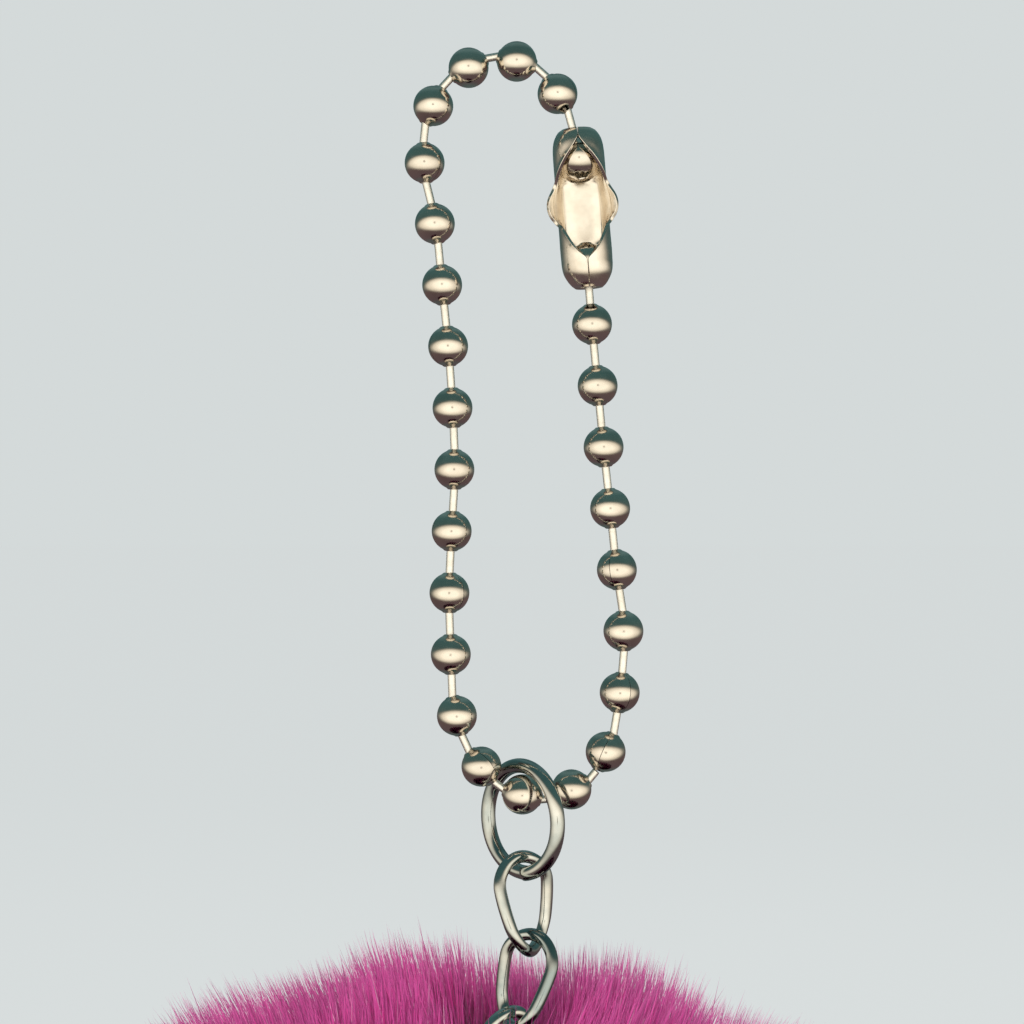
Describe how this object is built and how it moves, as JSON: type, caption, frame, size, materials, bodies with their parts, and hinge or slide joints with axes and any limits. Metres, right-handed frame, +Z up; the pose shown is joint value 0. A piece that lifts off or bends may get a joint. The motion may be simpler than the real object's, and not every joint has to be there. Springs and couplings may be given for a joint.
{
  "type": "plush keychain",
  "caption": "Fluffy ball hung by a cloth tab, wire links and a jump ring on a loop of ball chain that a sheet metal connector closes.",
  "frame": {"origin": "hang point: the underside, at mid-length, of the pin at the top of the chain loop", "axes": "+Z up, the way the loop is held; the loop lies in the XZ plane, and the connector's slot faces -Y, on the +X side"},
  "size_m": [0.0796, 0.0796, 0.1343],
  "materials": {
    "chain_nickel": "satin",
    "ring_nickel": "polished",
    "pink_fur": "matte",
    "white_stuffing": "matte"
  },
  "bodies": {
    "bead_01": {"bead_01": "chain_nickel"},
    "bead_02": {"bead_02": "chain_nickel"},
    "bead_03": {"bead_03": "chain_nickel"},
    "bead_04": {"bead_04": "chain_nickel"},
    "bead_05": {"bead_05": "chain_nickel"},
    "bead_06": {"bead_06": "chain_nickel"},
    "bead_07": {"bead_07": "chain_nickel"},
    "bead_08": {"bead_08": "chain_nickel"},
    "bead_09": {"bead_09": "chain_nickel"},
    "bead_10": {"bead_10": "chain_nickel"},
    "bead_11": {"bead_11": "chain_nickel"},
    "bead_12": {"bead_12": "chain_nickel"},
    "bead_13": {"bead_13": "chain_nickel"},
    "bead_14": {"bead_14": "chain_nickel"},
    "bead_15": {"bead_15": "chain_nickel"},
    "bead_16": {"bead_16": "chain_nickel"},
    "bead_17": {"bead_17": "chain_nickel"},
    "bead_18": {"bead_18": "chain_nickel"},
    "bead_19": {"bead_19": "chain_nickel"},
    "bead_20": {"bead_20": "chain_nickel"},
    "bead_21": {"bead_21": "chain_nickel"},
    "bead_22": {"bead_22": "chain_nickel"},
    "bead_23": {"bead_23": "chain_nickel"},
    "bead_24": {"bead_24": "chain_nickel"},
    "bead_25": {"bead_25": "chain_nickel"},
    "bead_26": {"bead_26": "chain_nickel"},
    "bead_27": {"bead_27": "chain_nickel"},
    "connector": {"connector": "chain_nickel"},
    "hanging_pin": {"hanging_pin": "chain_nickel"},
    "jump_ring": {"jump_ring": "ring_nickel"},
    "link_2": {"link_2": "ring_nickel"},
    "link_3": {"link_3": "ring_nickel"},
    "link_4": {"link_4": "ring_nickel"},
    "pin_01": {"pin_01": "chain_nickel"},
    "pin_02": {"pin_02": "chain_nickel"},
    "pin_03": {"pin_03": "chain_nickel"},
    "pin_04": {"pin_04": "chain_nickel"},
    "pin_05": {"pin_05": "chain_nickel"},
    "pin_06": {"pin_06": "chain_nickel"},
    "pin_07": {"pin_07": "chain_nickel"},
    "pin_08": {"pin_08": "chain_nickel"},
    "pin_09": {"pin_09": "chain_nickel"},
    "pin_10": {"pin_10": "chain_nickel"},
    "pin_11": {"pin_11": "chain_nickel"},
    "pin_12": {"pin_12": "chain_nickel"},
    "pin_13": {"pin_13": "chain_nickel"},
    "pin_14": {"pin_14": "chain_nickel"},
    "pin_15": {"pin_15": "chain_nickel"},
    "pin_16": {"pin_16": "chain_nickel"},
    "pin_17": {"pin_17": "chain_nickel"},
    "pin_18": {"pin_18": "chain_nickel"},
    "pin_19": {"pin_19": "chain_nickel"},
    "pin_20": {"pin_20": "chain_nickel"},
    "pin_21": {"pin_21": "chain_nickel"},
    "pin_22": {"pin_22": "chain_nickel"},
    "pin_23": {"pin_23": "chain_nickel"},
    "pin_25": {"pin_25": "chain_nickel"},
    "pin_26": {"pin_26": "chain_nickel"},
    "plush_cover": {"plush_cover": "pink_fur", "stuffing": "white_stuffing"}
  },
  "joints": [
    {"name": "jump_ring_swing", "type": "hinge", "parent": "bead_14", "child": "jump_ring", "pos_m": [0.00182, 0, -0.04397], "axis": [1, 0, 0], "range_deg": [-40, 15]},
    {"name": "link_2_swing", "type": "hinge", "parent": "jump_ring", "child": "link_2", "pos_m": [0.00182, 0, -0.0487], "axis": [-0.6428, 0.766, 0], "range_deg": [-30, 30]},
    {"name": "link_3_swing", "type": "hinge", "parent": "link_2", "child": "link_3", "pos_m": [0.00239, 0, -0.05333], "axis": [0.714, 0.6947, 0.0877], "range_deg": [-30, 30]},
    {"name": "link_4_swing", "type": "hinge", "parent": "link_3", "child": "link_4", "pos_m": [0.00117, 0, -0.05789], "axis": [-0.683, 0.7071, 0.183], "range_deg": [-20, 20]},
    {"name": "plush_swing", "type": "hinge", "parent": "link_4", "child": "plush_cover", "pos_m": [-0.00082, 0, -0.06217], "axis": [0.6409, 0.7071, -0.2988], "range_deg": [-20, 20]},
    {"name": "connector_slide", "type": "slide", "parent": "bead_25", "child": "connector", "axis": [-0.0795, 0, 0.9968], "range_m": [0, 0.0008]},
    {"name": "bead_24_slide", "type": "slide", "parent": "connector", "child": "bead_24", "axis": [-0.0795, 0, 0.9968], "range_m": [0, 0.0008]},
    {"name": "bead_01_on_hanging_pin", "type": "hinge", "parent": "hanging_pin", "child": "bead_01", "pos_m": [-0.0004, 0, 0.00017], "axis": [1, 0, 0], "range_deg": [-25, 25]},
    {"name": "pin_01_in_bead_01", "type": "hinge", "parent": "bead_01", "child": "pin_01", "pos_m": [-0.0024, 0, -0.00092], "axis": [-1, 0, 0], "range_deg": [-25, 25]},
    {"name": "bead_02_on_pin_01", "type": "hinge", "parent": "pin_01", "child": "bead_02", "pos_m": [-0.00304, 0, -0.00163], "axis": [1, 0, 0], "range_deg": [-25, 25]},
    {"name": "pin_02_in_bead_02", "type": "hinge", "parent": "bead_02", "child": "pin_02", "pos_m": [-0.00398, 0, -0.0037], "axis": [-1, 0, 0], "range_deg": [-22, 22]},
    {"name": "bead_03_on_pin_02", "type": "hinge", "parent": "pin_02", "child": "bead_03", "pos_m": [-0.00411, 0, -0.00495], "axis": [1, 0, 0], "range_deg": [-25, 25]},
    {"name": "pin_03_in_bead_03", "type": "hinge", "parent": "bead_03", "child": "pin_03", "pos_m": [-0.00395, 0, -0.00722], "axis": [-1, 0, 0], "range_deg": [-25, 25]},
    {"name": "bead_04_on_pin_03", "type": "hinge", "parent": "pin_03", "child": "bead_04", "pos_m": [-0.00361, 0, -0.00861], "axis": [1, 0, 0], "range_deg": [-25, 25]},
    {"name": "pin_04_in_bead_04", "type": "hinge", "parent": "bead_04", "child": "pin_04", "pos_m": [-0.00323, 0, -0.01086], "axis": [-1, 0, 0], "range_deg": [-25, 25]},
    {"name": "bead_05_on_pin_04", "type": "hinge", "parent": "pin_04", "child": "bead_05", "pos_m": [-0.00309, 0, -0.01227], "axis": [1, 0, 0], "range_deg": [-25, 25]},
    {"name": "pin_05_in_bead_05", "type": "hinge", "parent": "bead_05", "child": "pin_05", "pos_m": [-0.00287, 0, -0.01454], "axis": [-1, 0, 0], "range_deg": [-25, 25]},
    {"name": "bead_06_on_pin_05", "type": "hinge", "parent": "pin_05", "child": "bead_06", "pos_m": [-0.00272, 0, -0.01595], "axis": [1, 0, 0], "range_deg": [-25, 25]},
    {"name": "pin_06_in_bead_06", "type": "hinge", "parent": "bead_06", "child": "pin_06", "pos_m": [-0.00252, 0, -0.01823], "axis": [-1, 0, 0], "range_deg": [-25, 25]},
    {"name": "bead_07_on_pin_06", "type": "hinge", "parent": "pin_06", "child": "bead_07", "pos_m": [-0.00242, 0, -0.01964], "axis": [1, 0, 0], "range_deg": [-25, 25]},
    {"name": "pin_07_in_bead_07", "type": "hinge", "parent": "bead_07", "child": "pin_07", "pos_m": [-0.0023, 0, -0.02192], "axis": [-1, 0, 0], "range_deg": [-25, 25]},
    {"name": "bead_08_on_pin_07", "type": "hinge", "parent": "pin_07", "child": "bead_08", "pos_m": [-0.00224, 0, -0.02334], "axis": [1, 0, 0], "range_deg": [-25, 25]},
    {"name": "pin_08_in_bead_08", "type": "hinge", "parent": "bead_08", "child": "pin_08", "pos_m": [-0.00226, 0, -0.02562], "axis": [-1, 0, 0], "range_deg": [-25, 25]},
    {"name": "bead_09_on_pin_08", "type": "hinge", "parent": "pin_08", "child": "bead_09", "pos_m": [-0.00235, 0, -0.02704], "axis": [1, 0, 0], "range_deg": [-25, 25]},
    {"name": "pin_09_in_bead_09", "type": "hinge", "parent": "bead_09", "child": "pin_09", "pos_m": [-0.00247, 0, -0.02931], "axis": [-1, 0, 0], "range_deg": [-25, 25]},
    {"name": "bead_10_on_pin_09", "type": "hinge", "parent": "pin_09", "child": "bead_10", "pos_m": [-0.00254, 0, -0.03073], "axis": [1, 0, 0], "range_deg": [-25, 25]},
    {"name": "pin_10_in_bead_10", "type": "hinge", "parent": "bead_10", "child": "pin_10", "pos_m": [-0.00255, 0, -0.03301], "axis": [-1, 0, 0], "range_deg": [-25, 25]},
    {"name": "bead_11_on_pin_10", "type": "hinge", "parent": "pin_10", "child": "bead_11", "pos_m": [-0.0025, 0, -0.03443], "axis": [1, 0, 0], "range_deg": [-25, 25]},
    {"name": "pin_11_in_bead_11", "type": "hinge", "parent": "bead_11", "child": "pin_11", "pos_m": [-0.00242, 0, -0.03671], "axis": [-1, 0, 0], "range_deg": [-25, 25]},
    {"name": "bead_12_on_pin_11", "type": "hinge", "parent": "pin_11", "child": "bead_12", "pos_m": [-0.00236, 0, -0.03814], "axis": [1, 0, 0], "range_deg": [-25, 25]},
    {"name": "pin_12_in_bead_12", "type": "hinge", "parent": "bead_12", "child": "pin_12", "pos_m": [-0.00183, 0, -0.04036], "axis": [-1, 0, 0], "range_deg": [-25, 25]},
    {"name": "bead_13_on_pin_12", "type": "hinge", "parent": "pin_12", "child": "bead_13", "pos_m": [-0.00134, 0, -0.04142], "axis": [1, 0, 0], "range_deg": [-25, 25]},
    {"name": "pin_13_in_bead_13", "type": "hinge", "parent": "bead_13", "child": "pin_13", "pos_m": [0.00009, 0, -0.04319], "axis": [-1, 0, 0], "range_deg": [-25, 25]},
    {"name": "bead_14_on_pin_13", "type": "hinge", "parent": "pin_13", "child": "bead_14", "pos_m": [0.00073, 0, -0.04367], "axis": [1, 0, 0], "range_deg": [-25, 25]},
    {"name": "pin_14_in_bead_14", "type": "hinge", "parent": "bead_14", "child": "pin_14", "pos_m": [0.00292, 0, -0.04428], "axis": [-1, 0, 0], "range_deg": [-25, 25]},
    {"name": "bead_15_on_pin_14", "type": "hinge", "parent": "pin_14", "child": "bead_15", "pos_m": [0.00377, 0, -0.04421], "axis": [1, 0, 0], "range_deg": [-25, 25]},
    {"name": "pin_15_in_bead_15", "type": "hinge", "parent": "bead_15", "child": "pin_15", "pos_m": [0.00578, 0, -0.04314], "axis": [-1, 0, 0], "range_deg": [-25, 25]},
    {"name": "bead_27_on_hanging_pin", "type": "hinge", "parent": "hanging_pin", "child": "bead_27", "pos_m": [0.0004, 0, 0.00031], "axis": [1, 0, 0], "range_deg": [-25, 25]},
    {"name": "pin_26_in_bead_27", "type": "hinge", "parent": "bead_27", "child": "pin_26", "pos_m": [0.00259, 0, -0.00031], "axis": [-1, 0, 0], "range_deg": [-25, 25]},
    {"name": "bead_26_on_pin_26", "type": "hinge", "parent": "pin_26", "child": "bead_26", "pos_m": [0.00334, 0, -0.00097], "axis": [1, 0, 0], "range_deg": [-25, 25]},
    {"name": "pin_25_in_bead_26", "type": "hinge", "parent": "bead_26", "child": "pin_25", "pos_m": [0.00454, 0, -0.00291], "axis": [-1, 0, 0], "range_deg": [-24, 24]},
    {"name": "bead_25_on_pin_25", "type": "hinge", "parent": "pin_25", "child": "bead_25", "pos_m": [0.00503, 0, -0.00471], "axis": [1, 0, 0], "range_deg": [-25, 25]},
    {"name": "pin_23_in_bead_24", "type": "hinge", "parent": "bead_24", "child": "pin_23", "pos_m": [0.00579, 0, -0.01321], "axis": [-1, 0, 0], "range_deg": [-25, 25]},
    {"name": "bead_23_on_pin_23", "type": "hinge", "parent": "pin_23", "child": "bead_23", "pos_m": [0.00591, 0, -0.01463], "axis": [1, 0, 0], "range_deg": [-25, 25]},
    {"name": "pin_22_in_bead_23", "type": "hinge", "parent": "bead_23", "child": "pin_22", "pos_m": [0.00611, 0, -0.0169], "axis": [-1, 0, 0], "range_deg": [-25, 25]},
    {"name": "bead_22_on_pin_22", "type": "hinge", "parent": "pin_22", "child": "bead_22", "pos_m": [0.00624, 0, -0.01831], "axis": [1, 0, 0], "range_deg": [-25, 25]},
    {"name": "pin_21_in_bead_22", "type": "hinge", "parent": "bead_22", "child": "pin_21", "pos_m": [0.00645, 0, -0.02058], "axis": [-1, 0, 0], "range_deg": [-25, 25]},
    {"name": "bead_21_on_pin_21", "type": "hinge", "parent": "pin_21", "child": "bead_21", "pos_m": [0.00659, 0, -0.022], "axis": [1, 0, 0], "range_deg": [-25, 25]},
    {"name": "pin_20_in_bead_21", "type": "hinge", "parent": "bead_21", "child": "pin_20", "pos_m": [0.00682, 0, -0.02426], "axis": [-1, 0, 0], "range_deg": [-25, 25]},
    {"name": "bead_20_on_pin_20", "type": "hinge", "parent": "pin_20", "child": "bead_20", "pos_m": [0.00698, 0, -0.02568], "axis": [1, 0, 0], "range_deg": [-25, 25]},
    {"name": "pin_19_in_bead_20", "type": "hinge", "parent": "bead_20", "child": "pin_19", "pos_m": [0.00722, 0, -0.02794], "axis": [-1, 0, 0], "range_deg": [-25, 25]},
    {"name": "bead_19_on_pin_19", "type": "hinge", "parent": "pin_19", "child": "bead_19", "pos_m": [0.00736, 0, -0.02936], "axis": [1, 0, 0], "range_deg": [-25, 25]},
    {"name": "pin_18_in_bead_19", "type": "hinge", "parent": "bead_19", "child": "pin_18", "pos_m": [0.00764, 0, -0.03162], "axis": [-1, 0, 0], "range_deg": [-25, 25]},
    {"name": "bead_18_on_pin_18", "type": "hinge", "parent": "pin_18", "child": "bead_18", "pos_m": [0.00786, 0, -0.03303], "axis": [1, 0, 0], "range_deg": [-25, 25]},
    {"name": "pin_17_in_bead_18", "type": "hinge", "parent": "bead_18", "child": "pin_17", "pos_m": [0.00793, 0, -0.03531], "axis": [-1, 0, 0], "range_deg": [-25, 25]},
    {"name": "bead_17_on_pin_17", "type": "hinge", "parent": "pin_17", "child": "bead_17", "pos_m": [0.00781, 0, -0.03673], "axis": [1, 0, 0], "range_deg": [-25, 25]},
    {"name": "pin_16_in_bead_17", "type": "hinge", "parent": "bead_17", "child": "pin_16", "pos_m": [0.00753, 0, -0.03899], "axis": [-1, 0, 0], "range_deg": [-25, 25]},
    {"name": "bead_16_on_pin_16", "type": "hinge", "parent": "pin_16", "child": "bead_16", "pos_m": [0.0073, 0, -0.04038], "axis": [1, 0, 0], "range_deg": [-24, 24]}
  ]
}
